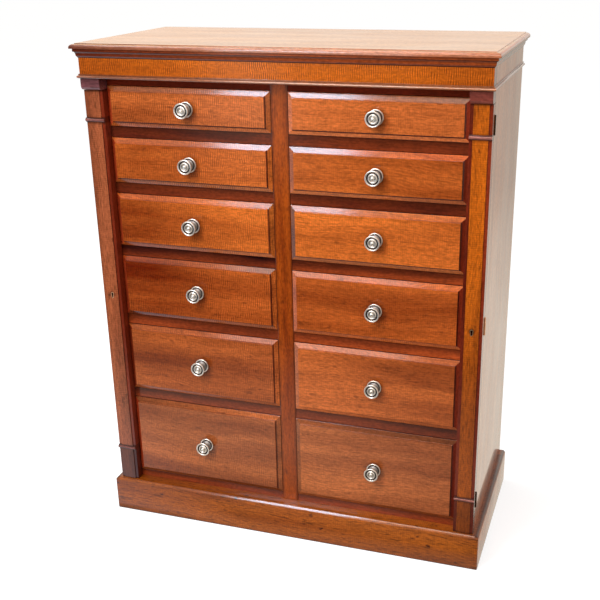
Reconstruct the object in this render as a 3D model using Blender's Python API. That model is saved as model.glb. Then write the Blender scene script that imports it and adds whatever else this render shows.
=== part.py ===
"""Twelve-drawer wellington chest with two hinged locking stiles.

Units are metres, +Z is up and the front faces -Y. The origin is the centre of the footprint, on the floor.
Every fixed board, drawer, knob, stile, hinge and lock bolt is its own object. Each drawer hangs under an
empty at its front, and each stile under an empty on its hinge pins' axis.
"""

import math

import bmesh
import bpy
from mathutils import Matrix

# Carcase
CARCASE_WIDTH = 1.0074
CARCASE_DEPTH = 0.4777
SIDE_THICKNESS = 0.020
BACK_THICKNESS = 0.012
POST_DEPTH = 0.036
MULLION_WIDTH = 0.0428

# Heights from the floor up
PLINTH_HEIGHT = 0.0985
BASE_RAIL_HEIGHT = 0.0208
DRAWER_HEIGHTS = (0.0984, 0.1132, 0.1379, 0.1627, 0.1888, 0.2287)
RAIL_HEIGHT = 0.0273
TOP_RAIL_HEIGHT = 0.0190
ASTRAGAL_HEIGHT = 0.0108
FRIEZE_HEIGHT = 0.0385
CORNICE_HEIGHT = 0.0217
TOP_THICKNESS = 0.0125

# Steps back from the frieze's face
STILE_SETBACK = 0.0100
DRAWER_SETBACK = 0.0350
RAIL_SETBACK = 0.0025

# Plinth
PLINTH_SIDE_PROJECTION = 0.0171
PLINTH_FRONT_PROJECTION = 0.0088
PLINTH_EDGE_DROP = 0.0045
PLINTH_SLOPE_WIDTH = 0.0082
PLINTH_FILLET = 0.0010
PLINTH_ARRIS = 0.0012
PLINTH_WALL = 0.040

# Shelves between the drawers
SHELF_THICKNESS = 0.010
RAIL_DEPTH = 0.045

# Top and cornice
CORNICE_PROJECTION = 0.0150
TOP_BACK_OVERHANG = 0.0030
TOP_OVOLO_WIDTH = 0.0112
TOP_OVOLO_DROP = 0.0093
FASCIA_PROJECTION = 0.0090
FASCIA_HEIGHT = 0.0072
FASCIA_STEP = 0.0018
COVE_FOOT_PROJECTION = 0.0012
COVE_FOOT_HEIGHT = 0.0012

# Astragal
ASTRAGAL_PROJECTION = 0.0060
ASTRAGAL_FILLET_HEIGHT = 0.0030
ASTRAGAL_FILLET_PROJECTION = 0.0024

# Capitals
OVOLO_HEIGHT = 0.0110
CAPITAL_BLOCK_HEIGHT = 0.0170

# Hinged stiles
STILE_WIDTH = 0.0510
STILE_MARGIN = 0.0082
STILE_RELIEF = 0.0025
STILE_END_GAP = 0.0010
STILE_BACK_GAP = 0.0010
COLLAR_HEIGHT = 0.0100
COLLAR_PROJECTION = 0.0042
COLLAR_SIDE_PROJECTION = 0.0009
COLLAR_NOSE_DEPTH = 0.0030
COLLAR_UPPER_DROP = 0.0725
COLLAR_LOWER_RISE = 0.0985

# Hinges: three on each stile, with the pins' axis on its outer back edge
HINGE_OFFSET = 0.0005
HINGE_KNUCKLE = 0.0150
HINGE_KNUCKLES = 3
HINGE_KNUCKLE_GAP = 0.0004
HINGE_RADIUS = 0.0024
HINGE_CLEARANCE = 0.0005
LEAF_THICKNESS = 0.0012
LEAF_WIDTH = 0.0100
LEAF_GAP = 0.0004
HINGE_UPPER_DROP = 0.0485
HINGE_LOWER_RISE = 0.0650

# Lock
KEYHOLE_HEIGHT = 0.6577
KEYHOLE_RADIUS = 0.0024
KEYHOLE_SLOT_WIDTH = 0.0022
KEYHOLE_SLOT_DROP = 0.0068
KEYHOLE_DEPTH = 0.0080
BOLT_WIDTH = 0.0050
BOLT_HEIGHT = 0.0140
BOLT_LENGTH = 0.0150
BOLT_THROW = 0.0080
BOLT_INSET = 0.0130
BOLT_RECESS = 0.0003

# Drawers
DRAWER_GAP = 0.0010
DRAWER_SIDE_GAP = 0.0008
BEVEL_WIDTH = 0.0126
BEVEL_RISE = 0.0045
FIELD_RISE = 0.0100
FRONT_THICKNESS = 0.0120
BOX_SIDE_GAP = 0.0015
BOX_RUNNING_GAP = 0.0005
BOX_TOP_GAP = 0.0060
BOX_BACK_GAP = 0.0100
BOX_WALL = 0.0100
BOX_BOTTOM = 0.0080

# Knobs
KNOB_RADIUS = 0.0190
KNOB_PROJECTION = 0.0300
KNOB_SEGMENTS = 16
# The turned outline, from the rose on the drawer to the boss on the face: each point's share of the
# knob's radius and of its projection
KNOB_OUTLINE_SHARES = (
    (0, 0), (0.98, 0), (0.98, 0.09), (0.88, 0.13), (0.78, 0.06), (0.60, 0.11), (0.42, 0.24),
    (0.33, 0.43), (0.41, 0.72), (0.86, 0.80), (1, 0.90), (0.96, 0.965), (0.84, 0.965),
    (0.76, 0.88), (0.62, 0.88), (0.52, 0.965), (0.40, 0.88), (0.26, 0.945), (0, 1),
)

# Joinery
SEAT_GAP = 0.0003
CUT_OVERRUN = 0.0100
ARC_STEPS = 4
BARREL_SEGMENTS = 12

# Colours as linear red, green and blue
FIGURED_MAHOGANY = (0.36, 0.085, 0.016)
STRAIGHT_MAHOGANY = (0.25, 0.052, 0.012)
DARK_MAHOGANY = (0.10, 0.018, 0.008)
SECONDARY_WOOD = (0.50, 0.33, 0.17)
NICKEL = (0.62, 0.58, 0.50)
BRASS = (0.55, 0.37, 0.14)
STEEL = (0.42, 0.40, 0.37)

# Places that follow from the sizes above
total_depth = CARCASE_DEPTH + CORNICE_PROJECTION + TOP_BACK_OVERHANG
y_frieze = CORNICE_PROJECTION - total_depth / 2
y_back = y_frieze + CARCASE_DEPTH
y_stile = y_frieze + STILE_SETBACK
y_drawer = y_frieze + DRAWER_SETBACK
y_rail = y_drawer + RAIL_SETBACK
y_back_panel = y_back - BACK_THICKNESS
y_plinth = y_stile - PLINTH_FRONT_PROJECTION
half_width = CARCASE_WIDTH / 2
half_inside = half_width - SIDE_THICKNESS
half_opening = half_width - STILE_WIDTH
half_mullion = MULLION_WIDTH / 2
z_base_rail = PLINTH_HEIGHT + BASE_RAIL_HEIGHT
z_top_rail = (z_base_rail + sum(DRAWER_HEIGHTS) + 2 * DRAWER_GAP * len(DRAWER_HEIGHTS)
              + RAIL_HEIGHT * (len(DRAWER_HEIGHTS) - 1))
z_frieze = z_top_rail + TOP_RAIL_HEIGHT
z_cornice = z_frieze + ASTRAGAL_HEIGHT + FRIEZE_HEIGHT
z_top = z_cornice + CORNICE_HEIGHT
z_stile_head = z_frieze - CAPITAL_BLOCK_HEIGHT - OVOLO_HEIGHT - STILE_END_GAP
z_stile_foot = PLINTH_HEIGHT + STILE_END_GAP
y_hinge = y_rail - STILE_BACK_GAP / 2
x_hinge = half_width + HINGE_OFFSET
hinge_length = HINGE_KNUCKLES * HINGE_KNUCKLE
SIDES = {"left": -1, "right": 1}


def clear_scene():
    for old in list(bpy.data.objects):
        bpy.data.objects.remove(old, do_unlink=True)


def finish(name, colour, roughness, metallic=0.0):
    """A plain Principled material."""
    made = bpy.data.materials.new(name)
    made.use_nodes = True
    shader = made.node_tree.nodes["Principled BSDF"]
    shader.inputs["Base Color"].default_value = (*colour, 1)
    shader.inputs["Roughness"].default_value = roughness
    shader.inputs["Metallic"].default_value = metallic
    made.diffuse_color = (*colour, 1)
    return made


def link(name, mesh, material=None, parent=None, location=(0, 0, 0)):
    made = bpy.data.objects.new(name, mesh)
    made.location = location
    made.parent = parent
    if material and not mesh.materials:
        mesh.materials.append(material)
    bpy.context.scene.collection.objects.link(made)
    return made


def empty(name, location):
    made = link(name, None)
    made.location = location
    return made


def to_mesh(name, shape):
    bmesh.ops.recalc_face_normals(shape, faces=shape.faces)
    mesh = bpy.data.meshes.new(name)
    shape.to_mesh(mesh)
    shape.free()
    return mesh


def add_box(shape, low, high):
    """A box between two corners, given in any order."""
    size = [abs(b - a) for a, b in zip(low, high)]
    middle = [(a + b) / 2 for a, b in zip(low, high)]
    place = Matrix.Translation(middle) @ Matrix.Diagonal((*size, 1))
    bmesh.ops.create_cube(shape, size=1, matrix=place)


def boxes(name, corners):
    shape = bmesh.new()
    for low, high in corners:
        add_box(shape, low, high)
    return to_mesh(name, shape)


def loft(name, rings):
    """A closed solid through rings of as many points, with its ends filled."""
    shape = bmesh.new()
    rows = [[shape.verts.new(point) for point in ring] for ring in rings]
    for near, far in zip(rows, rows[1:]):
        for i in range(len(near)):
            j = (i + 1) % len(near)
            shape.faces.new((near[i], near[j], far[j], far[i]))
    shape.faces.new(rows[0])
    shape.faces.new(rows[-1])
    return to_mesh(name, shape)


def along_x(name, outline, x_low, x_high):
    """An outline of (y, z) points, extruded from one x to another."""
    return loft(name, [[(x, y, z) for y, z in outline] for x in (x_low, x_high)])


def along_z(name, outline, z_low, z_high):
    """An outline of (x, y) points, extruded from one height to another."""
    return loft(name, [[(x, y, z) for x, y in outline] for z in (z_low, z_high)])


def arc(centre_out, centre_up, wide, high, start, end, steps=ARC_STEPS):
    """Points on a quarter ellipse, by the angles in degrees at its ends."""
    turns = [math.radians(start + (end - start) * i / steps) for i in range(steps + 1)]
    return [(centre_out + wide * math.cos(t), centre_up + high * math.sin(t)) for t in turns]


def three_sides(out):
    """The plan of a moulding that wraps the front and both sides, this far out from the carcase."""
    x = half_width + out
    return [(-x, y_back), (-x, y_frieze - out), (x, y_frieze - out), (x, y_back)]


def helper(name, mesh):
    """A shape that cuts or joins another and isn't a piece itself."""
    made = link(name, mesh)
    made.hide_render = True
    made.display_type = "WIRE"
    return made


def combine(target, operation, name, mesh):
    tool = helper(name, mesh)
    tool.parent = target.parent
    change = target.modifiers.new(name, "BOOLEAN")
    change.operation = operation
    change.solver = "EXACT"
    change.object = tool


# Fixed carcase
def make_plinth(material):
    """A mitred skirt with a weathered top edge, hollow below."""
    x_edge = half_width + PLINTH_SIDE_PROJECTION
    z_edge = PLINTH_HEIGHT - PLINTH_EDGE_DROP
    z_slope = PLINTH_HEIGHT - PLINTH_FILLET
    outline = [(0, 0), (0, z_edge - PLINTH_ARRIS), (PLINTH_ARRIS, z_edge),
               (PLINTH_SLOPE_WIDTH, z_slope), (PLINTH_SLOPE_WIDTH, PLINTH_HEIGHT)]
    rings = []
    for inset, z in outline:
        x, y = x_edge - inset, y_plinth + inset
        rings.append([(-x, y_back, z), (-x, y, z), (x, y, z), (x, y_back, z)])
    plinth = link("plinth", loft("plinth", rings), material)
    x_wall = x_edge - PLINTH_WALL
    hollow = boxes("plinth_hollow", [((-x_wall, y_plinth + PLINTH_WALL, -CUT_OVERRUN),
                                      (x_wall, y_back - PLINTH_WALL, PLINTH_HEIGHT + CUT_OVERRUN))])
    combine(plinth, "DIFFERENCE", "plinth_hollow", hollow)


def shelf_slots(z_low, z_high):
    """Boxes that clear the two front posts and the front half of the partition."""
    low, high = z_low - CUT_OVERRUN, z_high + CUT_OVERRUN
    y_front = y_rail - CUT_OVERRUN
    x_slot = half_mullion + SEAT_GAP
    corners = [((-x_slot, y_front, low), (x_slot, y_halving() + SEAT_GAP, high))]
    for side in SIDES.values():
        corners.append(((side * (half_opening - SEAT_GAP), y_front, low),
                        (side * (half_inside + CUT_OVERRUN), y_rail + POST_DEPTH + SEAT_GAP, high)))
    return corners


def y_halving():
    """The depth where the partition and the shelves are cross-halved."""
    return (y_rail + y_back_panel) / 2


def make_shelf(name, z_low, z_high, board_at_top, material):
    """A front rail with a thin dust board behind it, flush with the rail's top or its foot."""
    y_rail_back = y_rail + RAIL_DEPTH
    y_end = y_back_panel - SEAT_GAP
    if board_at_top:
        z_step = z_high - SHELF_THICKNESS
        outline = [(y_rail, z_low), (y_rail_back, z_low), (y_rail_back, z_step), (y_end, z_step),
                   (y_end, z_high), (y_rail, z_high)]
    else:
        z_step = z_low + SHELF_THICKNESS
        outline = [(y_rail, z_low), (y_end, z_low), (y_end, z_step), (y_rail_back, z_step),
                   (y_rail_back, z_high), (y_rail, z_high)]
    x = half_inside - SEAT_GAP
    shelf = link(name, along_x(name, outline, -x, x), material)
    combine(shelf, "DIFFERENCE", name + "_slots", boxes(name + "_slots", shelf_slots(z_low, z_high)))


def shelf_levels():
    """Name, foot and top of each shelf, from the floor up, and whether its board lies at the top."""
    levels = [("bottom_board", PLINTH_HEIGHT + SEAT_GAP, z_base_rail, True)]
    z = z_top_rail
    for row, height in enumerate(DRAWER_HEIGHTS[:-1], start=1):
        z -= height + 2 * DRAWER_GAP + RAIL_HEIGHT
        levels.append((f"dust_board_{row}", z, z + RAIL_HEIGHT, True))
    levels.append(("upper_board", z_top_rail, z_frieze - SEAT_GAP, False))
    return levels


def make_partition(material):
    """The centre stile and the partition behind it, notched from the back for each shelf."""
    low = (-half_mullion, y_drawer, PLINTH_HEIGHT + SEAT_GAP)
    high = (half_mullion, y_back_panel - SEAT_GAP, z_frieze - SEAT_GAP)
    partition = link("centre_partition", boxes("centre_partition", [(low, high)]), material)
    notches = []
    for name, z_low, z_high, board_at_top in shelf_levels():
        z_foot = z_low - (CUT_OVERRUN if name == "bottom_board" else SEAT_GAP)
        z_head = z_high + (CUT_OVERRUN if name == "upper_board" else SEAT_GAP)
        notches.append(((-half_mullion - CUT_OVERRUN, y_halving() - SEAT_GAP, z_foot),
                        (half_mullion + CUT_OVERRUN, y_back + CUT_OVERRUN, z_head)))
    combine(partition, "DIFFERENCE", "partition_notches", boxes("partition_notches", notches))


def make_back(material):
    x = half_inside - SEAT_GAP
    low = (-x, y_back_panel, PLINTH_HEIGHT + SEAT_GAP)
    link("back_panel", boxes("back_panel", [(low, (x, y_back, z_top - SEAT_GAP))]), material)


def hinge_feet():
    """The foot of each of the three hinges on a stile."""
    highest = z_stile_head - HINGE_UPPER_DROP - hinge_length / 2
    lowest = z_stile_foot + HINGE_LOWER_RISE
    middle = (highest + lowest) / 2
    return [lowest, middle, highest]


def barrel_notches(name, side):
    """Cylinders that clear the hinge barrels where a board's edge meets them."""
    shape = bmesh.new()
    length = hinge_length + 2 * HINGE_CLEARANCE
    for foot in hinge_feet():
        place = Matrix.Translation((side * x_hinge, y_hinge, foot + hinge_length / 2))
        radius = HINGE_RADIUS + HINGE_CLEARANCE
        bmesh.ops.create_cone(shape, cap_ends=True, segments=BARREL_SEGMENTS, radius1=radius,
                              radius2=radius, depth=length, matrix=place)
    return to_mesh(name, shape)


def leaf_groove(name, side, y_face, y_floor):
    """The shallow bed for a hinge leaf, from one hinge to the next, in a board's face."""
    feet = hinge_feet()
    x_near = x_hinge - HINGE_RADIUS
    x_far = x_hinge - HINGE_RADIUS - 2 * HINGE_CLEARANCE - LEAF_WIDTH - SEAT_GAP
    low = (side * x_near, y_face, feet[0] - HINGE_CLEARANCE)
    high = (side * x_far, y_floor, feet[-1] + hinge_length + HINGE_CLEARANCE)
    return boxes(name, [(low, high)])


def capital_outline():
    """A plain block over an ovolo that steps in to the stile's face."""
    z_block = z_frieze - CAPITAL_BLOCK_HEIGHT
    z_foot = z_block - OVOLO_HEIGHT
    ovolo = [(y_stile - out, z) for out, z in arc(0, z_block, STILE_SETBACK, OVOLO_HEIGHT, -90, 0)]
    head = z_frieze - SEAT_GAP
    return [(y_rail + SIDE_THICKNESS, z_foot), *ovolo, (y_frieze, head), (y_rail + SIDE_THICKNESS, head)]


def make_side(hand, side, material):
    """A side panel with its glued front post, which carries the capital."""
    name = "side_" + hand
    outer, inner, post = side * half_width, side * half_inside, side * half_opening
    outline = [(outer, y_rail), (outer, y_back), (inner, y_back), (inner, y_rail + POST_DEPTH),
               (post, y_rail + POST_DEPTH), (post, y_rail)]
    panel = link(name, along_z(name, outline, PLINTH_HEIGHT + SEAT_GAP, z_top - SEAT_GAP), material)
    combine(panel, "UNION", "capital_" + hand, along_x("capital_" + hand, capital_outline(), post, outer))
    combine(panel, "DIFFERENCE", name + "_barrels", barrel_notches(name + "_barrels", side))
    floor = y_hinge + LEAF_GAP / 2 + LEAF_THICKNESS + SEAT_GAP
    groove = leaf_groove(name + "_groove", side, y_rail - CUT_OVERRUN, floor)
    combine(panel, "DIFFERENCE", name + "_groove", groove)
    x_bolt = bolt_place(side)
    reach = BOLT_WIDTH / 2 + SEAT_GAP
    mortise = boxes(name + "_mortise", [
        ((x_bolt - reach, y_rail - CUT_OVERRUN, KEYHOLE_HEIGHT - BOLT_HEIGHT / 2 - SEAT_GAP),
         (x_bolt + reach, y_rail + BOLT_THROW + SEAT_GAP, KEYHOLE_HEIGHT + BOLT_HEIGHT / 2 + SEAT_GAP))])
    combine(panel, "DIFFERENCE", name + "_mortise", mortise)


def make_frieze(material):
    low = (-half_width, y_frieze, z_frieze)
    high = (half_width, y_rail - SEAT_GAP, z_top - SEAT_GAP)
    link("frieze", boxes("frieze", [(low, high)]), material)


def moulding(name, outline, material):
    """A moulding on the front and both sides, from an outline of (projection, height) points."""
    rings = [[(*three_sides(out)[i], z) for out, z in outline] for i in range(4)]
    return link(name, loft(name, rings), material)


def make_astragal(material):
    """A half-round bead under a narrow fillet."""
    z_high = z_frieze + ASTRAGAL_HEIGHT
    z_bead = z_high - ASTRAGAL_FILLET_HEIGHT
    radius = (z_bead - z_frieze) / 2
    bead = arc(SEAT_GAP, z_frieze + radius, ASTRAGAL_PROJECTION - SEAT_GAP, radius, -90, 90, 2 * ARC_STEPS)
    fillet = [(ASTRAGAL_FILLET_PROJECTION, z_bead), (ASTRAGAL_FILLET_PROJECTION, z_high), (SEAT_GAP, z_high)]
    moulding("astragal", bead[:-1] + fillet, material)


def make_cornice(material):
    """A cove under a square fascia, planted below the top's overhang."""
    z_high = z_top - SEAT_GAP
    z_fascia = z_top - FASCIA_HEIGHT
    z_cove = z_cornice + COVE_FOOT_HEIGHT
    cove_out = FASCIA_PROJECTION - FASCIA_STEP
    cove = arc(cove_out, z_cove, cove_out - COVE_FOOT_PROJECTION, z_fascia - z_cove, 180, 90)
    outline = [(SEAT_GAP, z_cornice), (COVE_FOOT_PROJECTION, z_cornice), *cove,
               (FASCIA_PROJECTION, z_fascia), (FASCIA_PROJECTION, z_high), (SEAT_GAP, z_high)]
    moulding("cornice_moulding", outline, material)


def make_top(material):
    """The top board, with an ovolo worked round the front and sides."""
    z_nose = z_top + TOP_THICKNESS - TOP_OVOLO_DROP
    ovolo = arc(CORNICE_PROJECTION - TOP_OVOLO_WIDTH, z_nose, TOP_OVOLO_WIDTH, TOP_OVOLO_DROP, 0, 90)
    rings = []
    for out, z in [(CORNICE_PROJECTION, z_top), *ovolo]:
        x, y = half_width + out, y_frieze - out
        y_far = y_back + TOP_BACK_OVERHANG
        rings.append([(-x, y_far, z), (-x, y, z), (x, y, z), (x, y_far, z)])
    link("top_board", loft("top_board", rings), material)


# Hinged stiles with their hinges and locks
def bolt_place(side):
    """The x of a lock bolt's middle."""
    return side * (half_opening + BOLT_INSET)


def bolt_front():
    """The y of a withdrawn bolt's front end."""
    return y_rail - STILE_BACK_GAP - BOLT_RECESS - BOLT_LENGTH


def collar(name, side, z_low):
    """A narrow moulding across the stile, with a rounded nose at the front and the outer side."""
    y_margin = y_stile + STILE_RELIEF
    nose = y_stile - COLLAR_PROJECTION
    swell = arc(0, z_low + COLLAR_HEIGHT / 2, COLLAR_NOSE_DEPTH, COLLAR_HEIGHT / 2, -90, 90)
    inner, outer = half_opening, half_width + COLLAR_SIDE_PROJECTION
    rings = []
    for x in (inner, outer):
        front = [(side * x, nose + COLLAR_NOSE_DEPTH - out, z) for out, z in swell]
        rings.append([*front, (side * x, y_margin + STILE_RELIEF, z_low + COLLAR_HEIGHT),
                      (side * x, y_margin + STILE_RELIEF, z_low)])
    return loft(name, rings)


def keyhole(name, side):
    """A round eye with a slot below it, cut from the stile's face."""
    x_middle = side * (half_opening + STILE_WIDTH / 2)
    half_slot = KEYHOLE_SLOT_WIDTH / 2
    lean = math.degrees(math.asin(half_slot / KEYHOLE_RADIUS))
    eye = arc(0, 0, KEYHOLE_RADIUS, KEYHOLE_RADIUS, lean - 90, 270 - lean, 2 * ARC_STEPS)
    slot = [(-half_slot, -KEYHOLE_SLOT_DROP), (half_slot, -KEYHOLE_SLOT_DROP)]
    depths = (y_stile - CUT_OVERRUN, y_stile + KEYHOLE_DEPTH)
    return loft(name, [[(x_middle + x, y, KEYHOLE_HEIGHT + z) for x, z in eye + slot] for y in depths])


def stile_outline(side):
    """The stile's plan: a raised face between two margins."""
    y_end = y_rail - STILE_BACK_GAP
    y_margin = y_stile + STILE_RELIEF
    inner, outer = half_opening, half_width
    face_in, face_out = inner + STILE_MARGIN, outer - STILE_MARGIN
    points = [(inner, y_end), (inner, y_margin), (face_in, y_margin), (face_in, y_stile),
              (face_out, y_stile), (face_out, y_margin), (outer, y_margin), (outer, y_end)]
    return [(side * x, y) for x, y in points]


def local(mesh, pivot):
    """The same mesh, moved so that the pivot's place is its origin."""
    mesh.transform(Matrix.Translation(pivot.location).inverted())
    return mesh


def make_stile(hand, side, pivot, material):
    """The hinged stile that locks the drawers of its side."""
    name = "stile_" + hand
    body = along_z(name, stile_outline(side), z_stile_foot, z_stile_head)
    stile = link(name, local(body, pivot), material, pivot)
    collars = {"upper": z_stile_head - COLLAR_UPPER_DROP - COLLAR_HEIGHT / 2,
               "lower": z_stile_foot + COLLAR_LOWER_RISE - COLLAR_HEIGHT / 2}
    for place, z_low in collars.items():
        part = f"collar_{hand}_{place}"
        combine(stile, "UNION", part, local(collar(part, side, z_low), pivot))
    part = name + "_barrels"
    combine(stile, "DIFFERENCE", part, local(barrel_notches(part, side), pivot))
    part = name + "_groove"
    floor = y_hinge - LEAF_GAP / 2 - LEAF_THICKNESS - SEAT_GAP
    combine(stile, "DIFFERENCE", part, local(leaf_groove(part, side, y_rail + CUT_OVERRUN, floor), pivot))
    part = name + "_bolt_slot"
    reach = BOLT_WIDTH / 2 + SEAT_GAP
    x_bolt = bolt_place(side)
    slot = boxes(part, [
        ((x_bolt - reach, bolt_front() - SEAT_GAP, KEYHOLE_HEIGHT - BOLT_HEIGHT / 2 - SEAT_GAP),
         (x_bolt + reach, y_rail + CUT_OVERRUN, KEYHOLE_HEIGHT + BOLT_HEIGHT / 2 + SEAT_GAP))])
    combine(stile, "DIFFERENCE", part, local(slot, pivot))
    part = "keyhole_" + hand
    combine(stile, "DIFFERENCE", part, local(keyhole(part, side), pivot))


def make_hinge_half(hand, side, half, pivot, material):
    """One half of a stile's three hinges: the leaf, with its knuckles joined to it."""
    name = f"hinge_{half}_{hand}"
    fixed = half == "fixed"
    towards = 1 if fixed else -1
    y_near = y_hinge + towards * LEAF_GAP / 2
    y_far = y_near + towards * LEAF_THICKNESS
    x_near = x_hinge - HINGE_RADIUS - 2 * HINGE_CLEARANCE
    feet = hinge_feet()
    leaf_low = (side * x_near, y_near, feet[0])
    leaf_high = (side * (x_near - LEAF_WIDTH), y_far, feet[-1] + hinge_length)
    parent = None if fixed else pivot
    tabs = []
    barrels = bmesh.new()
    for foot in feet:
        for knuckle in range(0 if fixed else 1, HINGE_KNUCKLES, 2):
            z_low = foot + knuckle * HINGE_KNUCKLE + HINGE_KNUCKLE_GAP / 2
            z_high = z_low + HINGE_KNUCKLE - HINGE_KNUCKLE_GAP
            tabs.append(((side * x_hinge, y_near, z_low), (side * (x_near - LEAF_WIDTH / 2), y_far, z_high)))
            place = Matrix.Translation((side * x_hinge, y_hinge, (z_low + z_high) / 2))
            bmesh.ops.create_cone(barrels, cap_ends=True, segments=BARREL_SEGMENTS, radius1=HINGE_RADIUS,
                                  radius2=HINGE_RADIUS, depth=z_high - z_low, matrix=place)
    meshes = [boxes(name, [(leaf_low, leaf_high)]), boxes(name + "_tabs", tabs),
              to_mesh(name + "_barrels", barrels)]
    if not fixed:
        meshes = [local(mesh, pivot) for mesh in meshes]
    leaf = link(name, meshes[0], material, parent)
    for mesh in meshes[1:]:
        combine(leaf, "UNION", mesh.name, mesh)


def make_bolt(hand, side, pivot, material):
    """The lock's bolt, withdrawn into the stile."""
    name = "lock_bolt_" + hand
    x = bolt_place(side)
    low = (x - BOLT_WIDTH / 2, bolt_front(), KEYHOLE_HEIGHT - BOLT_HEIGHT / 2)
    high = (x + BOLT_WIDTH / 2, bolt_front() + BOLT_LENGTH, KEYHOLE_HEIGHT + BOLT_HEIGHT / 2)
    link(name, local(boxes(name, [(low, high)]), pivot), material, pivot)


# Drawers
def drawer_width():
    return half_opening - half_mullion - 2 * DRAWER_SIDE_GAP


def make_front_mesh(row, height):
    """A drawer front with a wide bevel, a small step and a raised field."""
    half_x, half_z = drawer_width() / 2, height / 2
    rings = []
    for inset, y in ((0, FRONT_THICKNESS), (0, 0), (BEVEL_WIDTH, -BEVEL_RISE), (BEVEL_WIDTH, -FIELD_RISE)):
        x, z = half_x - inset, half_z - inset
        rings.append([(-x, y, -z), (x, y, -z), (x, y, z), (-x, y, z)])
    return loft(f"drawer_front_{row}", rings)


def box_extents(height):
    """Low and high corners of a drawer's box, from the middle of its front."""
    half_x = (half_opening - half_mullion) / 2 - BOX_SIDE_GAP
    y_near = FRONT_THICKNESS + SEAT_GAP
    y_far = y_back_panel - y_drawer - BOX_BACK_GAP
    z_low = -height / 2 - DRAWER_GAP + BOX_RUNNING_GAP
    return (-half_x, y_near, z_low), (half_x, y_far, height / 2 - BOX_TOP_GAP)


def make_box(name, height, parent, material):
    """The drawer's sides, back and bottom, glued up and open to the front."""
    low, high = box_extents(height)
    box = link(name, boxes(name, [(low, high)]), material, parent)
    inside = ((low[0] + BOX_WALL, low[1] - CUT_OVERRUN, low[2] + BOX_BOTTOM),
              (high[0] - BOX_WALL, high[1] - BOX_WALL, high[2] + CUT_OVERRUN))
    combine(box, "DIFFERENCE", name + "_inside", boxes(name + "_inside", [inside]))


def make_knob_mesh():
    """The outline turned about the knob's axis, which runs along -Y."""
    shape = bmesh.new()
    points = [shape.verts.new((KNOB_RADIUS * across, -KNOB_PROJECTION * out, 0))
              for across, out in KNOB_OUTLINE_SHARES]
    edges = [shape.edges.new(pair) for pair in zip(points, points[1:])]
    bmesh.ops.spin(shape, geom=points + edges, cent=(0, 0, 0), axis=(0, 1, 0), angle=2 * math.pi,
                   steps=KNOB_SEGMENTS, use_merge=True)
    bmesh.ops.remove_doubles(shape, verts=shape.verts, dist=SEAT_GAP / 100)
    mesh = to_mesh("knob", shape)
    mesh.shade_smooth()
    mesh.set_sharp_from_angle(angle=math.radians(40))
    return mesh


def make_drawer(hand, side, row, z_middle, meshes, materials):
    """One drawer: its front, its box and its knob, under an empty at the front's middle."""
    height = DRAWER_HEIGHTS[row - 1]
    x = side * (half_mullion + half_opening) / 2
    run = empty(f"drawer_{hand}_{row}", (x, y_drawer, z_middle))
    link(f"drawer_front_{hand}_{row}", meshes[row], materials["figured"], run)
    make_box(f"drawer_box_{hand}_{row}", height, run, materials["secondary"])
    seat = (0, -FIELD_RISE - SEAT_GAP, 0)
    link(f"knob_{hand}_{row}", meshes["knob"], materials["nickel"], run, seat)


def make_drawers(materials):
    meshes = {row: make_front_mesh(row, height) for row, height in enumerate(DRAWER_HEIGHTS, start=1)}
    meshes["knob"] = make_knob_mesh()
    z = z_top_rail
    for row, height in enumerate(DRAWER_HEIGHTS, start=1):
        z_middle = z - DRAWER_GAP - height / 2
        z -= height + 2 * DRAWER_GAP + RAIL_HEIGHT
        for hand, side in SIDES.items():
            make_drawer(hand, side, row, z_middle, meshes, materials)


def make_finishes():
    return {
        "figured": finish("figured_mahogany", FIGURED_MAHOGANY, 0.22),
        "straight": finish("straight_mahogany", STRAIGHT_MAHOGANY, 0.25),
        "dark": finish("dark_mahogany", DARK_MAHOGANY, 0.30),
        "secondary": finish("secondary_wood", SECONDARY_WOOD, 0.70),
        "nickel": finish("nickel", NICKEL, 0.25, 1.0),
        "brass": finish("brass", BRASS, 0.35, 1.0),
        "steel": finish("steel", STEEL, 0.40, 1.0),
    }


def make_carcase(materials):
    make_plinth(materials["straight"])
    for level in shelf_levels():
        make_shelf(*level, materials["dark"])
    make_partition(materials["straight"])
    make_back(materials["secondary"])
    make_frieze(materials["figured"])
    make_astragal(materials["straight"])
    make_cornice(materials["straight"])
    make_top(materials["figured"])


def make_locking_stiles(materials):
    for hand, side in SIDES.items():
        make_side(hand, side, materials["straight"])
        pivot = empty("stile_pivot_" + hand, (side * x_hinge, y_hinge, z_stile_foot))
        make_stile(hand, side, pivot, materials["straight"])
        for half in ("fixed", "moving"):
            make_hinge_half(hand, side, half, pivot, materials["brass"])
        make_bolt(hand, side, pivot, materials["steel"])


def main():
    clear_scene()
    materials = make_finishes()
    make_carcase(materials)
    make_locking_stiles(materials)
    make_drawers(materials)


main()
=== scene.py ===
import math

import bmesh
import bpy
from mathutils import Matrix, Vector


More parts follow.
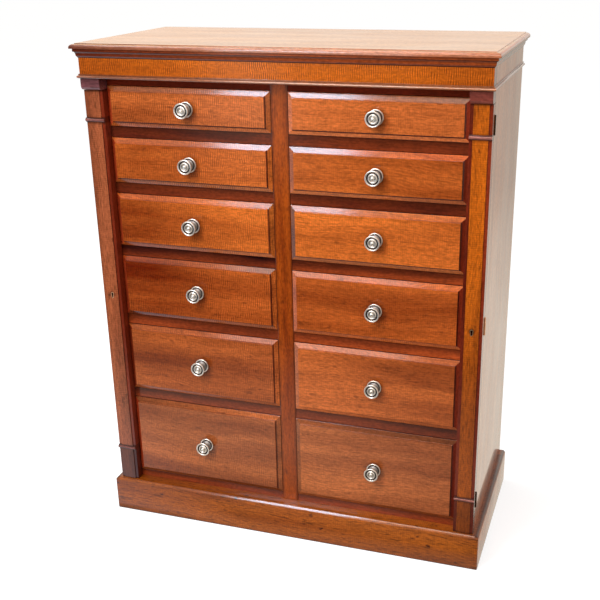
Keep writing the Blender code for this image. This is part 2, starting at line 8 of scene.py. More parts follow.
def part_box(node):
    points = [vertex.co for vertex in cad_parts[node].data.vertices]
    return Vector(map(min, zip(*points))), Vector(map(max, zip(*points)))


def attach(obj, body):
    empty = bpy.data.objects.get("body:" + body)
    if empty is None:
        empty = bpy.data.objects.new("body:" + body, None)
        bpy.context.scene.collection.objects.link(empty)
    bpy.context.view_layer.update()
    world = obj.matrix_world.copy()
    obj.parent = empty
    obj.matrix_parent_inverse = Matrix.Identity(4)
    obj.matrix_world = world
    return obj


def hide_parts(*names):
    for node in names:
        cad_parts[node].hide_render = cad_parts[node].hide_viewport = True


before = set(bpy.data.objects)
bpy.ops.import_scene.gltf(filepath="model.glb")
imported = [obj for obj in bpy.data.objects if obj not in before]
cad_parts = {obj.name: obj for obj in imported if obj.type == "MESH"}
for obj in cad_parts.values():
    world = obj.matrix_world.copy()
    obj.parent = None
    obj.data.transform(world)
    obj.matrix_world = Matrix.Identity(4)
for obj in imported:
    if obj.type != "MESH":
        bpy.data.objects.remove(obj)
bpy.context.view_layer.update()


# Plinth
# The skirt under the chest: mahogany boards with the front corners rounded over and a sloping ledge worked
# along the top of the front and both ends. It is open below, and its polish is darker and more knocked than
# that of the drawers. Shade is painted along its foot, at its ends and at the back of its ledge, and the
# floor's reflection on its right end.

def named(name, stretch=(1, 1, 1)):
    """Names the piece just added, and leaves its object at the origin, unturned and unscaled."""
    piece = bpy.context.object
    piece.name = piece.data.name = name
    piece.scale = stretch
    bpy.ops.object.transform_apply(location=True, rotation=True, scale=True)
    return piece


def blank(name, low, high):
    """A squared board between any two opposite corners, ready to be worked."""
    bpy.ops.object.select_all(action="DESELECT")
    bpy.ops.mesh.primitive_cube_add(size=1, location=[(a + b) / 2 for a, b in zip(low, high)])
    return named(name, [abs(b - a) for a, b in zip(low, high)])


def take_up(piece):
    """Leaves edit mode and makes this the one piece in hand."""
    if bpy.context.object and bpy.context.object.mode == "EDIT":
        bpy.ops.object.mode_set(mode="OBJECT")
    bpy.ops.object.select_all(action="DESELECT")
    piece.select_set(True)
    bpy.context.view_layer.objects.active = piece


def choose(piece, kind, test):
    """Selects, in edit mode, the vertices, edges or faces that pass a test."""
    if piece.mode != "EDIT":
        take_up(piece)
        bpy.ops.object.mode_set(mode="EDIT")
    bpy.ops.mesh.select_mode(type=kind)
    bpy.ops.mesh.select_all(action="DESELECT")
    shape = bmesh.from_edit_mesh(piece.data)
    for part in {"VERT": shape.verts, "EDGE": shape.edges, "FACE": shape.faces}[kind]:
        if test(part):
            part.select_set(True)
    shape.select_flush_mode()
    bmesh.update_edit_mesh(piece.data)


def middle(part):
    """The middle of an edge or a face."""
    return sum((corner.co for corner in part.verts), Vector()) / len(part.verts)


def seal(piece):
    """Turns every face of a new piece outwards, and leaves edit mode."""
    bpy.ops.mesh.select_all(action="SELECT")
    bpy.ops.mesh.normals_make_consistent(inside=False)
    take_up(piece)


def draw_out(x, y, z):
    """Draws the chosen faces out from a piece."""
    bpy.ops.mesh.extrude_region_move(TRANSFORM_OT_translate={"value": (x, y, z)})


def worked(name, x_from, x_to, y_front, y_back, profile, mitred=True):
    """A board with a moulding along its front, mitred round both ends or cut off square there. Each step out
    and height of the profile is drawn up from the one below it, and let out or taken in from the back."""
    out, z = profile[0]
    x_middle, width, returns = (x_from + x_to) / 2, abs(x_to - x_from), 2 if mitred else 0
    bpy.ops.object.select_all(action="DESELECT")
    bpy.ops.mesh.primitive_plane_add(size=1, location=(x_middle, (y_front - out + y_back) / 2, z))
    piece = named(name, (width + returns * out, y_back - y_front + out, 1))
    bpy.ops.object.mode_set(mode="EDIT")
    bpy.ops.mesh.select_all(action="SELECT")
    for (out, z), (next_out, next_z) in zip(profile, profile[1:]):
        draw_out(0, 0, next_z - z)
        bpy.ops.transform.resize(value=((width + returns * next_out) / (width + returns * out),
                                        (y_back - y_front + next_out) / (y_back - y_front + out), 1),
                                 center_override=(x_middle, y_back, next_z))
    seal(piece)
    return piece


def combine(piece, other, how="DIFFERENCE"):
    """Takes another shape out of the piece, or joins it on, and uses it up."""
    take_up(piece)
    change = piece.modifiers.new("combined", "BOOLEAN")
    change.operation, change.solver, change.object = how, "EXACT", other
    bpy.ops.object.modifier_apply(modifier=change.name)
    bpy.data.objects.remove(other, do_unlink=True)


def ease(piece, width, segments=2):
    """Takes off the sharp arrises as glasspaper does, and shades flats flat and rounds round."""
    take_up(piece)
    change = piece.modifiers.new("arrises", "BEVEL")
    change.width, change.segments = width, segments
    change.limit_method, change.angle_limit = "ANGLE", math.radians(32)
    bpy.ops.object.modifier_apply(modifier=change.name)
    bpy.ops.object.shade_smooth_by_angle(angle=math.radians(16))


def score(piece, *lines):
    """Adds edges right round a piece, each at an axis and a place on it, for its form or shade to change at."""
    choose(piece, "FACE", lambda face: True)
    for axis, place in lines:
        bpy.ops.mesh.select_all(action="SELECT")
        bpy.ops.mesh.bisect(plane_co=[place * (axis == i) for i in range(3)],
                            plane_no=[float(axis == i) for i in range(3)])
    take_up(piece)


def mark(piece, layer, amount):
    """Keeps at each corner of each face one layer's value: how much dirt and painted shade lies there, from 0 to 1,
    how tarnished it is, from 0 to 1, or how much paler painted light and wear make it, below 0 where darker."""
    marks = piece.data.attributes.get(layer) or piece.data.attributes.new(layer, "FLOAT", "CORNER")
    for face in piece.data.polygons:
        for place, corner in zip(face.loop_indices, face.vertices):
            marks.data[place].value = amount(face, piece.data.vertices[corner].co)


def tint(code):
    """An sRGB hex colour as linear values."""
    parts = [int(code[i:i + 2], 16) / 255 for i in (1, 3, 5)]
    return (*[c / 12.92 if c <= 0.04045 else ((c + 0.055) / 1.055) ** 2.4 for c in parts], 1)


def connect(material, node, values):
    """Links or sets inputs of a node, given with their names or numbers, or simply in order."""
    for socket, value in values.items() if isinstance(values, dict) else enumerate(values):
        if isinstance(value, bpy.types.NodeSocket):
            material.node_tree.links.new(value, node.inputs[socket])
        else:
            node.inputs[socket].default_value = value


def add_node(material, kind, values=(), **settings):
    """Adds a shader node with its settings, links or sets its inputs, and gives its outputs."""
    made = material.node_tree.nodes.new("ShaderNode" + kind)
    for name, value in settings.items():
        setattr(made, name, value)
    connect(material, made, values)
    return made.outputs


def new_wood(name, along, place, scale, wander):
    """A new finish, its object coordinates, and coordinates whose x runs with the grain and drifts a little."""
    material = bpy.data.materials.new(name)
    material.use_nodes = True
    where = add_node(material, "TexCoord")["Object"]
    turn = {"x": (0, 0, 0), "y": (0, 0, math.pi / 2), "z": (0, math.pi / 2, 0)}[along]
    board = add_node(material, "Mapping", {"Vector": where, "Location": place, "Rotation": turn})[0]
    drift = add_node(material, "TexNoise", {"Vector": board, "Scale": scale, "Detail": 2.0})["Color"]
    grain = add_node(material, "VectorMath", (drift, (0, wander, wander), board), operation="MULTIPLY_ADD")
    return material, where, grain[0]


def mahogany(name, light, dark, along, ripple=0.0, figure=0.5, flecks=0.3, place=(0, 0, 0), gloss=0.12,
             tone=("X", 0, 1, 0.5, 0.5), streaks=0.8, film=0.9, film_ior=1.5):
    """French polished mahogany: open straight grain, a ripple across it where the timber is fiddleback, and a
    thin clear film of shellac that gives a sharp but slightly soft reflection. Each pattern is sized in cycles
    to the metre along and across the grain, which makes the hearts 60 mm wide, the grain lines and pores 3 mm,
    coarser than the real half millimetre so that they show, the glints 4 mm and the ripples 5 mm. The tone
    gives two places along an axis, and how far the colour goes there from dark to light."""
    material, where, grain = new_wood(name, along, place, 2.5, 0.06)
    layers = {}
    for layer, size, detail, low, high in (
            ("hearts", (1.3, 17, 17), 3, 0.35, 0.65), ("lines", (14, 330, 330), 4, 0.30, 0.70),
            ("breaks", (45, 70, 70), 1, 0.35, 0.62), ("glints", (110, 230, 230), 1, 0.35, 0.65),
            ("patches", (6, 10, 10), 2, 0.35, 0.65), ("pores", (30, 340, 340), 2, 0.56, 0.68),
            ("knocks", (34, 60, 60), 2, 0.66, 0.76)):
        sized = add_node(material, "VectorMath", (grain, size), operation="MULTIPLY")[0]
        noise = add_node(material, "TexNoise", {"Vector": sized, "Scale": 1.0, "Detail": detail})[0]
        layers[layer] = add_node(material, "MapRange", (noise, low, high))[0]
    layers["wave"] = add_node(material, "TexWave", {"Vector": grain, "Scale": 60.0, "Distortion": 5.0, "Detail": 1.5,
                                                    "Detail Scale": 0.6}, bands_direction="X")["Fac"]
    line, mottle, patch, wave, worn = (
        add_node(material, "MapRange", (layers[layer], 0, 1, low, high))[0]
        for layer, low, high in (("lines", 0.72, 1.20), ("glints", 0.86, 1.18), ("patches", 0.45 * ripple, ripple),
                                 ("wave", 0.40, 1.50), ("patches", 0.34, 0.46)))
    spot = add_node(material, "SeparateXYZ", {0: where})[tone[0]]
    base = add_node(material, "MapRange", (spot, tone[1], tone[2], tone[3] - figure / 2,
                                           tone[4] - figure / 2))[0]
    # The first layer mixes the wood towards dark brown, as dirt and as painted shade; the second makes it paler or
    # darker, as painted light and shade and as wear
    grime, rubbed = (add_node(material, "Attribute", attribute_name=name)["Fac"]
                     for name in ("grime", "rubbed"))
    heart, strength, pore, knock, grime, rubbed = (
        add_node(material, "Math", (value, by, plus), operation="MULTIPLY_ADD")[0]
        for value, by, plus in ((layers["hearts"], figure, base), (patch, layers["breaks"], 0.0),
                                (layers["pores"], -0.65 * flecks, 1.0), (layers["knocks"], flecks, 0.0),
                                (grime, 0.92, 0.0), (rubbed, 1.0, 1.0)))
    body = add_node(material, "Mix", {0: heart, 6: tint(dark), 7: tint(light)}, data_type="RGBA",
                    clamp_factor=False)[2]
    for share, how, shade in ((streaks, "MULTIPLY", line), (1.0, "MULTIPLY", mottle), (strength, "MULTIPLY", wave),
                              (1.0, "MULTIPLY", pore), (knock, "MIX", tint("#3A1206")),
                              (1.0, "MULTIPLY", rubbed), (grime, "MIX", tint("#2C0C07"))):
        body = add_node(material, "Mix", {0: share, 6: body, 7: shade}, data_type="RGBA",
                        blend_type=how)[2]
    relief = add_node(material, "Bump", {"Strength": 0.12, "Distance": 0.0003, "Height": layers["lines"]})
    connect(material, material.node_tree.nodes["Principled BSDF"], {
        "Base Color": body, "Normal": relief[0], "Roughness": worn, "IOR": 1.5, "Specular IOR Level": 0.15,
        "Specular Tint": tint("#E08850"), "Coat Weight": film, "Coat Roughness": gloss, "Coat IOR": film_ior})
    return material


def give(piece, material, body="carcase"):
    """Finishes a piece, and says what it moves with."""
    take_up(piece)
    piece.data.materials.clear()
    piece.data.materials.append(material)
    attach(piece, body)


def stain(piece, material, test):
    """Gives a second finish to the faces that pass a test."""
    piece.data.materials.append(material)
    piece.active_material_index = len(piece.data.materials) - 1
    choose(piece, "FACE", test)
    bpy.ops.object.material_slot_assign()
    take_up(piece)


plinth_low, plinth_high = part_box("plinth")
carcase_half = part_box("frieze")[1].x
back_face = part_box("back_panel")[1].y
skirt_board, corner, corner_round = 0.040, 0.014, 0.0035
plinth = worked("plinth_skirt", -plinth_high.x, plinth_high.x, plinth_low.y, back_face,
                [(0, 0), (0, 0.0925), (-0.0042, 0.0974), (-0.0052, plinth_high.z)])
combine(plinth, blank("plinth_inside", (-plinth_high.x + skirt_board, plinth_low.y + skirt_board, -0.01),
                      (plinth_high.x - skirt_board, back_face - skirt_board, plinth_high.z + 0.01)))
choose(plinth, "EDGE", lambda edge: abs(middle(edge).x) > plinth_high.x - 0.010
       and middle(edge).y < plinth_low.y + 0.010
       and abs(edge.verts[0].co.x - edge.verts[1].co.x) < 0.009
       and abs(edge.verts[0].co.z - edge.verts[1].co.z) > 0.0005)
bpy.ops.mesh.bevel(offset=corner_round, segments=4)
score(plinth, (2, 0.004), (2, 0.007), (0, 0), (0, plinth_high.x - corner), (0, corner - plinth_high.x))
ease(plinth, 0.0007)
# Painted shade: darker along the foot, on the ledge near both ends, and down the left end
mark(plinth, "grime", lambda face, spot: 0.82 if abs(spot.x) > plinth_high.x - 0.012 and spot.z > 0.0935
             else 0.85 if spot.z < 0.004 else 0.5 if spot.x < 0.003 - plinth_high.x else 0.0)
# The right end is painted paler as the floor's reflection; the rest goes from a little paler in the middle to darker
# towards the ends
mark(plinth, "rubbed", lambda face, spot: 0.35 if face.normal.x > 0.9 else 0.10 - 0.42 * abs(spot.x))
plinth_mahogany = mahogany("french_polished_mahogany_plinth", "#BE6218", "#80380E", "x", ripple=0.25,
                           figure=0.9, flecks=0.9, place=(0.3, 0.1, 0.2), tone=("X", -0.45, -0.15, 0.30, 0.48))
# A dark mahogany for painted shade in steps, gaps and holes, and for dark polish gathered there
shade_and_dark_polish = mahogany("gathered_dark_polish", "#56180C", "#3C0E07", "z", figure=0.6, place=(0.1, 0.8, 0.5))
give(plinth, plinth_mahogany)
# The riser at the back of the ledge, where the stiles and carcase stand, is painted dark as shade
stain(plinth, shade_and_dark_polish, lambda face: 0.0975 < middle(face).z < 0.0983 and abs(face.normal.z) < 0.8)
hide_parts("plinth")


# Bottom board, dust boards and upper board
# Thin pine boards between the drawers, each with a dark polished mahogany rail glued along its front edge.
# The boards stay raw, and the rails are a darker mahogany than the drawers, each painted darker towards its
# top as the shade under the drawer above; the top rail is painted darker still, as the shadow of the frieze.

def raw_timber(name, light, dark, along, place=(0, 0, 0)):
    """Raw pine or oak gone yellow with age: soft bands 12 mm apart, a dry surface with no shine."""
    material, _, grain = new_wood(name, along, place, 3.0, 0.03)
    ring, fibre = (add_node(material, "TexNoise", {
        "Vector": add_node(material, "VectorMath", (grain, size), operation="MULTIPLY")[0],
        "Scale": 1.0, "Detail": detail})[0] for size, detail in (((1.5, 85, 85), 3), ((18, 700, 700), 2)))
    ring = add_node(material, "MapRange", (ring, 0.35, 0.65))[0]
    shade = add_node(material, "MapRange", (fibre, 0.3, 0.7, 0.82, 1.08))[0]
    body = add_node(material, "Mix", {0: ring, 6: tint(dark), 7: tint(light)}, data_type="RGBA")[2]
    body = add_node(material, "Mix", {0: 1.0, 6: body, 7: shade}, data_type="RGBA", blend_type="MULTIPLY")
    relief = add_node(material, "Bump", {"Strength": 0.35, "Distance": 0.0003, "Height": fibre})
    connect(material, material.node_tree.nodes["Principled BSDF"], {
        "Base Color": body[2], "Normal": relief[0], "Roughness": 0.72})
    return material


def darken(material, measure, low, high, at_low, at_high):
    """Fades a finish along a measure, from one share of its brightness to another."""
    shader = material.node_tree.nodes["Principled BSDF"]
    body = shader.inputs["Base Color"].links[0].from_socket
    fade = add_node(material, "MapRange", (measure, low, high, at_low, at_high))[0]
    faded = add_node(material, "Mix", {0: 1.0, 6: body, 7: fade}, data_type="RGBA", blend_type="MULTIPLY")
    connect(material, shader, {"Base Color": faded[2]})


# How far each rail's colour goes from dark to light under the left stack and under the right one
rail_tones = {"bottom_board": (0.28, 0.60), "dust_board_1": (0.25, 0.05), "dust_board_2": (0.18, 0.0),
              "dust_board_3": (0.18, 0.69), "dust_board_4": (0.62, 1.05), "dust_board_5": (0.30, 0.26)}
rail_depth = 0.045
rail_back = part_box("dust_board_1")[0].y + rail_depth
dust_board_pine = raw_timber("raw_pine_dust_boards", "#C79A63", "#A8743F", "y")
# The top rail is painted dark as the shadow under the frieze and astragal
rail_finishes = {"upper_board": mahogany("french_polished_mahogany_top_rail", "#7E2612", "#541608", "x", figure=0.8,
                                         place=(0.6, 0.5, 0.1), gloss=0.20, film=0.08)}
for number, name in enumerate(rail_tones):
    low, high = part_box(name)
    rail_mahogany = mahogany(f"french_polished_mahogany_rail_{number + 1}", "#A0421A", "#4E180C", "x", figure=0.7,
                             place=(0.2 + 0.3 * number, 0.5, 0.4), tone=("X", -0.06, 0.06, *rail_tones[name]))
    # Each rail is painted darker towards its top, as the shade under the drawer above
    place = add_node(rail_mahogany, "TexCoord")["Object"]
    height = add_node(rail_mahogany, "SeparateXYZ", {0: place})["Z"]
    darken(rail_mahogany, height, low.z + 0.25 * (high.z - low.z), high.z, 1.15, 0.42)
    rail_finishes[name] = rail_mahogany
for name, finish in rail_finishes.items():
    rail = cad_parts[name]
    rail.data.materials.clear()
    rail.data.materials.append(finish)
    rail.data.materials.append(dust_board_pine)
    for face in rail.data.polygons:
        face.material_index = 1 if face.center.y > rail_back + 0.001 else 0


# Centre partition
# A wide upright between the two stacks of drawers. Its front edge is faced with a flat mahogany stile whose
# grain runs up and down, set forward of the rails, and the partition behind it is raw pine.

mullion_low, mullion_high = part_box("centre_partition")
facing, margin_edge = 0.034, 0.0145
facing_back = mullion_low.y + facing
mullion = blank("centre_stile", mullion_low, (mullion_high.x, facing_back, mullion_high.z))
score(mullion, (0, margin_edge), (0, -margin_edge))
ease(mullion, 0.0010)
mark(mullion, "grime", lambda face, spot: 0.55 if abs(spot.x) > 0.019 else 0.0)
mullion_mahogany = mahogany("french_polished_mahogany_centre_stile", "#BC540E", "#843208", "z", figure=0.9,
                            flecks=0.5, place=(0.1, 0.3, 0.7), tone=("Z", 1.00, 1.18, 0.5, 0.25))
give(mullion, mullion_mahogany)
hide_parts("centre_partition")

partition = blank("pine_partition", (mullion_low.x + 0.0006, facing_back, mullion_low.z),
                  (mullion_high.x - 0.0006, mullion_high.y, mullion_high.z))
ease(partition, 0.0006)
give(partition, raw_timber("raw_pine_partition", "#C79A63", "#A8743F", "y", (0.4, 0.2, 0.6)))


# Carcase sides
# One wide veneered board on each end, a post glued behind the hinged stile, and above the stile a plain
# bracket with an ovolo under it. The sides have beds cut for the hinge leaves, and the posts a mortise for the bolt.

side_low, side_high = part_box("side_right")
opening_half = side_low.x
side_inner = 0.4837
post_face = -0.19535
stile_foot, stile_head = 0.0995, 1.1875
hinge_feet, hinge_height, slack = (0.1645, 0.6405, 1.1165), 0.045, 0.0005
hinge_x, hinge_y = carcase_half + 0.0005, -0.19585
bolt_hole_x, bolt_hole_z = (0.46290, 0.46850), (0.6504, 0.6650)
hands = {"left": -1, "right": 1}
side_mahogany = mahogany("french_polished_mahogany_sides", "#E08248", "#A8582C", "z", figure=0.6, flecks=0.15,
                         place=(0.7, 0.2, 0.1), gloss=0.05, tone=("Y", -0.18, 0.20, 0.80, 0.40))
post_mahogany = mahogany("french_polished_mahogany_posts", "#6A240E", "#481408", "z", place=(0.2, 0.9, 0.3))
# The two capitals are one mahogany, painted as lit and shaded copies: the right one paler and redder, the left one
# darker and more purple with the reflection it shows
capital_finishes_as_lit = {"left": ("#965456", "#663E42"), "right": ("#984838", "#6E3430")}


def barrel(side, z, length, radius, facets):
    """A rod on a stile's hinge axis, about a height."""
    bpy.ops.object.select_all(action="DESELECT")
    bpy.ops.mesh.primitive_cylinder_add(vertices=facets, radius=radius, depth=length,
                                        location=(side * hinge_x, hinge_y, z))
    return named("barrel")


def cut_hinge_beds(piece, side, y_low, y_high):
    """Lets the leaves and barrels of three hinges into a piece."""
    for foot in hinge_feet:
        combine(piece, blank("bed", (side * (hinge_x - 0.0142), y_low, foot - slack),
                             (side * (hinge_x + 0.004), y_high, foot + hinge_height + slack)))
        combine(piece, barrel(side, foot + hinge_height / 2, hinge_height + 2 * slack, 0.0029, 24))


def arc(start, end, steps):
    """Angles in even steps, for the round parts of a moulding."""
    return [math.radians(start + (end - start) * step / steps) for step in range(steps + 1)]


for hand, side in hands.items():
    inner, outer = side * opening_half, side * carcase_half
    panel = blank(f"side_panel_{hand}", (side * side_inner, post_face, side_low.z),
                  (outer, back_face, side_high.z))
    cut_hinge_beds(panel, side, post_face - 0.01, post_face + 0.0012)
    ease(panel, 0.0007)
    give(panel, side_mahogany)
    stain(panel, post_mahogany, lambda face: face.normal.y < -0.9)
    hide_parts("side_" + hand)

    post = blank(f"front_post_{hand}", (inner, post_face, side_low.z),
                 (side * (side_inner - 0.0001), post_face + 0.036, 1.2160))
    combine(post, blank("mortise", (side * bolt_hole_x[0], post_face - 0.01, bolt_hole_z[0]),
                        (side * bolt_hole_x[1], post_face + 0.0083, bolt_hole_z[1])))
    ease(post, 0.0006)
    give(post, post_mahogany)

    ovolo = [(0.0100 * (math.sin(turn) - 1), 1.1995 - 0.0110 * math.cos(turn)) for turn in arc(0, 90, 10)]
    capital = worked(f"capital_{hand}", inner, outer, side_low.y, post_face - 0.0001, ovolo + [(0, 1.2162)],
                     mitred=False)
    ease(capital, 0.0006)
    mark(capital, "grime", lambda face, spot: 0.5 if spot.z > 1.215 else 0.0)
    capital_mahogany = mahogany(f"french_polished_mahogany_capital_{hand}", *capital_finishes_as_lit[hand], "x", figure=0.8,
                                place=(0.6, 0.2, 0.8 * side))
    give(capital, capital_mahogany)


# Frieze
# A flat board between the astragal and the cornice, veneered with the best fiddleback mahogany, so that close
# fine ripples run down across the grain from end to end.

frieze_low, frieze_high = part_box("frieze")
frieze = blank("frieze_board", frieze_low, frieze_high)
ease(frieze, 0.0005)
frieze_mahogany = mahogany("fiddleback_mahogany_frieze", "#C9620F", "#8E3D0A", "x", ripple=1.05, figure=0.7,
                           flecks=0.1, place=(0.15, 0.4, 0.9), streaks=0.4)
give(frieze, frieze_mahogany)
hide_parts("frieze")


# Astragal
# A half-round bead with a narrow fillet over it, planted along the foot of the frieze and returned along both
# sides. It is straight-grained mahogany, mitred at the corners.

astragal_low, astragal_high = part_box("astragal")
face_y = frieze_low.y
bead = [(0.0003 + 0.0057 * math.cos(turn), astragal_low.z + 0.0039 + 0.0039 * math.sin(turn))
        for turn in arc(-90, 90, 14)]
astragal = worked("astragal_bead", -carcase_half, carcase_half, face_y, back_face,
                  bead + [(0.0024, astragal_low.z + 0.0078), (0.0024, astragal_high.z)])


def hollow(moulding, low, high):
    """Clears the carcase's own space out of a moulding, so that it stands round the outside."""
    combine(moulding, blank("inside", (-carcase_half - 0.0003, face_y - 0.0003, low.z - 0.01),
                            (carcase_half + 0.0003, back_face + 0.01, high.z + 0.01)))


hollow(astragal, astragal_low, astragal_high)
ease(astragal, 0.0003, 2)
# Painted shade under the bead, and a darker line along the fillet over it
mark(astragal, "grime", lambda face, spot: 0.75 if spot.z < astragal_low.z + 0.0022
             else 0.25 if spot.z > astragal_low.z + 0.0074 else 0.0)
# The mouldings are painted darker at the left end and paler towards the middle, as the highlight they catch
moulding_mahogany = mahogany("french_polished_mahogany_mouldings", "#A64A1E", "#64220C", "x",
                             flecks=0.4, place=(0.8, 0.6, 0.3), gloss=0.10, tone=("X", -0.45, 0.0, 0.06, 0.85))
# The bead is painted paler towards the right, as the highlight it catches there
bead_mahogany = mahogany("french_polished_mahogany_bead", "#B4683C", "#7E4022", "x", flecks=0.4,
                         place=(0.4, 0.6, 0.3), gloss=0.08, tone=("X", -0.4, 0.4, 0.25, 0.75), film_ior=2.0)
give(astragal, bead_mahogany)
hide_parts("astragal")


# Cornice moulding
# A cyma under a square fascia, planted below the overhang of the top and mitred round the front and both sides.

cornice_low, cornice_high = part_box("cornice_moulding")
fascia_foot = cornice_low.z + 0.0145
cyma = [(0.0009 + 0.0063 * rise + 0.0009 * math.sin(math.tau * rise), cornice_low.z + 0.0012 + 0.0133 * rise)
        for rise in (step / 12 for step in range(13))]
cornice = worked("cornice_cyma", -carcase_half, carcase_half, face_y, back_face,
                 [(0.0009, cornice_low.z)] + cyma + [(0.0090, fascia_foot), (0.0090, cornice_high.z)])
hollow(cornice, cornice_low, cornice_high)
score(cornice, (2, fascia_foot + 0.0017), (0, 0.1))
ease(cornice, 0.0005, 2)
# Painted shade: a dark line along the foot of the cyma and one under the fascia
mark(cornice, "grime", lambda face, spot: 0.95 if spot.z < cornice_low.z + 0.0016
             else 1.0 if abs(spot.z - fascia_foot - 0.0003) < 0.0008 else 0.0)
# Painted highlight: the fascia paler but for its right end, and a pale line along the cyma 7 mm above its foot
mark(cornice, "rubbed", lambda face, spot: 0.28 - 0.7 * max(0, spot.x - 0.1) if face.normal.y < -0.98
    and spot.z > fascia_foot + 0.0001 else 0.12 - 85 * abs(spot.z - cornice_low.z - 0.0070))
give(cornice, moulding_mahogany)
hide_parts("cornice_moulding")


# Top board
# A single wide board, laid with figured veneer and polished until it reflects the room, with an ovolo worked
# and a small quirk on its front and both ends. It has gone paler than the rest in the light.

top_low, top_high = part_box("top_board")
thumb = [(0.0048 + 0.0102 * math.cos(turn), top_high.z - 0.0093 + 0.0076 * math.sin(turn))
         for turn in arc(0, 90, 12)]
top = worked("top_slab", -carcase_half, carcase_half, face_y, top_high.y,
             [(0.0150, top_low.z)] + thumb + [(0.0041, top_high.z - 0.0016), (0.0041, top_high.z)])
ease(top, 0.0004, 2)
top_mahogany = mahogany("french_polished_mahogany_top", "#D4A072", "#B0805A", "x", ripple=0.25, figure=0.6,
                        flecks=0.15, place=(0.5, 0.9, 0.2), gloss=0.25, streaks=0.2)
give(top, top_mahogany)
# The nosing is painted darker at the left end and paler towards the middle, as the highlight it catches
nosing_mahogany = mahogany("french_polished_mahogany_nosing", "#9C5E40", "#623020", "x",
                           flecks=0.4, place=(0.2, 0.6, 0.7), gloss=0.10, tone=("X", -0.45, 0.0, 0.06, 0.85))
stain(top, nosing_mahogany, lambda face: face.normal.z < 0.9)
# The nosing is painted paler still towards the right, as its highlight there
mark(top, "rubbed", lambda face, spot: 0.48 + 0.70 * spot.x if -0.5 < face.normal.z < 0.9 else 0.0)
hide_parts("top_board")


# Back
# A framed back of raw pine: an outer frame, a cross rail and three muntins, with thin panels held in grooves.
# It was never polished, and has only darkened with age.

back_low, back_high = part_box("back_panel")
back = blank("framed_back", back_low, back_high)
cell_x = [back_low.x + 0.055, -0.262, -0.212, -0.025, 0.025, 0.212, 0.262, back_high.x - 0.055]
cell_z = [back_low.z + 0.060, 0.640, 0.690, back_high.z - 0.060]
score(back, *[(0, x) for x in cell_x], *[(2, z) for z in cell_z])


def in_cell(face):
    """Whether a face of the back is one of the eight panels."""
    spot = middle(face)
    wide = any(cell_x[i] < spot.x < cell_x[i + 1] for i in (0, 2, 4, 6))
    return face.normal.y > 0.9 and wide and any(cell_z[i] < spot.z < cell_z[i + 1] for i in (0, 2))


choose(back, "FACE", in_cell)
bpy.ops.mesh.inset(thickness=0.0012, depth=-0.0005, use_individual=True)
bpy.ops.mesh.inset(thickness=0.0005, depth=-0.0045, use_individual=True)
ease(back, 0.0005)
give(back, raw_timber("raw_pine_back", "#C49A68", "#A87C4C", "z", (0.3, 0.7, 0.1)))
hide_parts("back_panel")


# Hinged stiles
# The two flat pilasters that lock the drawers. Each is a raised face between two narrow margins, with a
# round-nosed collar near its head and one near its foot, and a brass lining let in round its keyhole.

stile_face, stile_back = -0.22285, -0.19635
margin, margin_depth = 0.0082, 0.0025
collar_heights = {"upper": 1.1150, "lower": 0.1980}
key_x, key_z = 0.4782, 0.6577
stile_finishes = {"left": ("#B4603A", "#6E341E", (0.9, 0.1, 0.4), 0.55, 0.45),
                  "right": ("#D86A12", "#7A340A", (0.4, 0.6, 0.2), 0.26, 0.80)}
# The collars are painted darker on the left stile and paler on the right one, as the highlight they catch
collar_mahogany = mahogany("french_polished_mahogany_collars", "#A8665A", "#74403A", "x",
                           place=(0.3, 0.3, 0.3), gloss=0.10, tone=("X", -0.45, 0.45, 0.15, 0.95))
# Darker mahoganies painted where shade falls: in the stiles' sunk margins and on their sides towards the drawers, and
# on the drawer bevels beside the stiles; the half shaded one is for the less shaded places
shaded_margin_mahogany = mahogany("wax_darkened_mahogany", "#8A3018", "#5A160A", "z", figure=0.8, place=(0.5, 0.1, 0.9))
half_shaded_mahogany = mahogany("half_darkened_mahogany", "#A43C1C", "#701E0C", "z", figure=0.8, place=(0.2, 0.1, 0.6))


def metal(name, bright, tarnished, roughness, patches=90.0, spread=0.5):
    """Old metal that has been handled: bright where hands wear it, brown in patches of about 10 mm elsewhere."""
    material = bpy.data.materials.new(name)
    material.use_nodes = True
    where = add_node(material, "TexCoord")["Object"]
    noise = add_node(material, "TexNoise", {"Vector": where, "Scale": patches, "Detail": 4.0})[0]
    dull = add_node(material, "MapRange", (noise, 0.35, 0.70, 0.0, spread))[0]
    groove = add_node(material, "Attribute", attribute_name="tarnish")["Fac"]
    dull = add_node(material, "Math", (dull, groove), operation="MAXIMUM")[0]
    body = add_node(material, "Mix", {0: dull, 6: tint(bright), 7: tint(tarnished)}, data_type="RGBA")[2]
    rough = add_node(material, "MapRange", (dull, 0, 1, roughness, roughness + 0.25))
    grit = add_node(material, "TexNoise", {"Vector": where, "Scale": 1600.0, "Detail": 2.0})[0]
    relief = add_node(material, "Bump", {"Strength": 0.15, "Distance": 0.0001, "Height": grit})
    connect(material, material.node_tree.nodes["Principled BSDF"], {
        "Base Color": body, "Roughness": rough[0], "Normal": relief[0], "Metallic": 1.0})
    return material


def darken_round(material, x, z, near, far, share):
    """Darkens a finish in a soft ring round a fitting."""
    where = add_node(material, "TexCoord")["Object"]
    flat = add_node(material, "VectorMath", (where, (1, 0, 1)), operation="MULTIPLY")[0]
    away = add_node(material, "VectorMath", (flat, (x, 0, z)), operation="DISTANCE")["Value"]
    darken(material, away, near, far, share, 1.0)


aged_brass = metal("aged_brass", "#D8B890", "#8A6440", 0.34)
rubbed_brass = metal("rubbed_brass", "#FFC294", "#C88258", 0.42)
blackened_brass = metal("blackened_brass", "#4C3A2A", "#2A1E16", 0.42)


